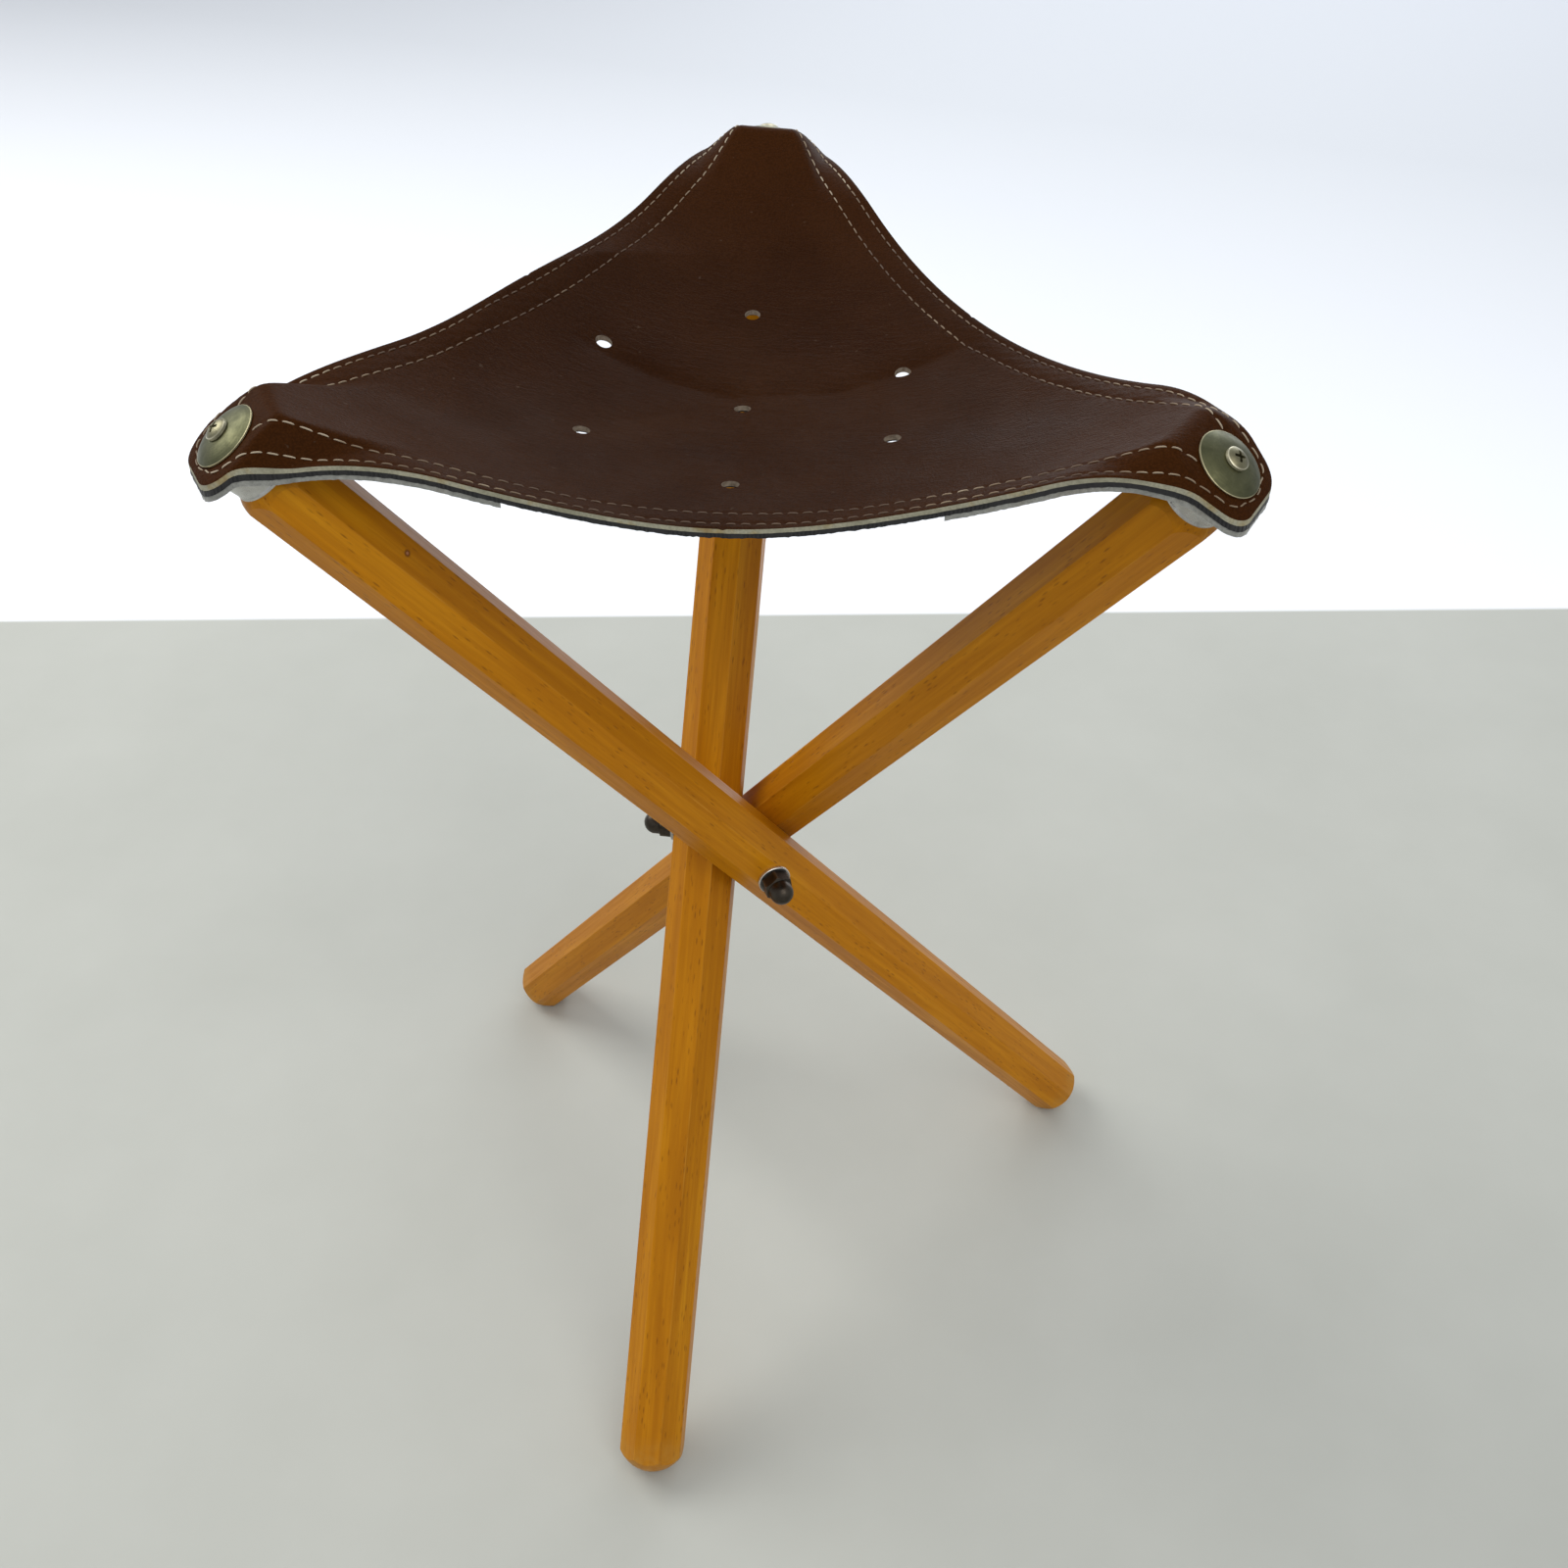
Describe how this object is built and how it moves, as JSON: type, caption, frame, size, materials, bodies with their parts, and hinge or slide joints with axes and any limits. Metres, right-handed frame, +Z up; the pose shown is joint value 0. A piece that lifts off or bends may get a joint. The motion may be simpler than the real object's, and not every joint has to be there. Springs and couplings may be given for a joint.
{
  "type": "folding three-legged stool",
  "caption": "Folding stool with octagonal wooden legs that pivot on a three-way bolt and carry a hollow-edged triangular leather seat screwed to their tops.",
  "frame": {"origin": "middle of the open stool's bounding box, on the floor", "axes": "+Z up; +Y towards the top of leg b, with the seat's edge between legs a and c facing -Y; +X to the right seen from -Y"},
  "size_m": [0.3906, 0.4307, 0.5683],
  "materials": {
    "beech": "honey brown satin varnish over fine flecked grain",
    "seat_leather": "dark brown semi-gloss grained hide with raw cream edges",
    "black_lining": "black woven lining",
    "grey_suede": "grey napped suede",
    "ferrule_aluminium": "satin turned",
    "aged_brass": "dull olive brass",
    "screw_brass": "nickelled brass, worn",
    "washer_steel": "bright rim, darkened face",
    "black_nut": "blackened, semi-gloss",
    "bolt_steel": "plain forged steel",
    "seat_thread": "waxed tan thread"
  },
  "bodies": {
    "hub": {"three_way_bolt": "bolt_steel", "seat_leather": "seat_leather", "seat_lining": "black_lining", "nut_washer_a": "washer_steel", "nut_washer_b": "washer_steel", "nut_washer_c": "washer_steel", "cap_nut_a": "black_nut", "cap_nut_b": "black_nut", "cap_nut_c": "black_nut", "corner_patch_a": "grey_suede", "corner_patch_b": "grey_suede", "corner_patch_c": "grey_suede"},
    "leg_a": {"leg_a": "beech", "ferrule_a": "ferrule_aluminium", "cup_washer_a": "aged_brass", "seat_screw_a": "screw_brass"},
    "leg_b": {"leg_b": "beech", "ferrule_b": "ferrule_aluminium", "cup_washer_b": "aged_brass", "seat_screw_b": "screw_brass"},
    "leg_c": {"leg_c": "beech", "ferrule_c": "ferrule_aluminium", "cup_washer_c": "aged_brass", "seat_screw_c": "screw_brass"}
  },
  "joints": [
    {"name": "fold_a", "type": "hinge", "parent": "hub", "child": "leg_a", "pos_m": [0.00055, -0.0225, 0.27906], "axis": [-0.5, 0.866, 0], "range_deg": [0, 36.4], "deforming": ["seat_leather", "seat_lining", "corner_patch_a", "corner_patch_b", "corner_patch_c"]},
    {"name": "fold_b", "type": "hinge", "parent": "hub", "child": "leg_b", "pos_m": [-0.0308, -0.0044, 0.27906], "axis": [1, 0, 0], "range_deg": [0, 36.4]},
    {"name": "fold_c", "type": "hinge", "parent": "hub", "child": "leg_c", "pos_m": [0.00055, 0.0137, 0.27906], "axis": [-0.5, -0.866, 0], "range_deg": [0, 36.4]}
  ],
  "couplings": [
    {"joint": "fold_b", "follows": "fold_a", "ratio": 1},
    {"joint": "fold_c", "follows": "fold_a", "ratio": 1}
  ]
}
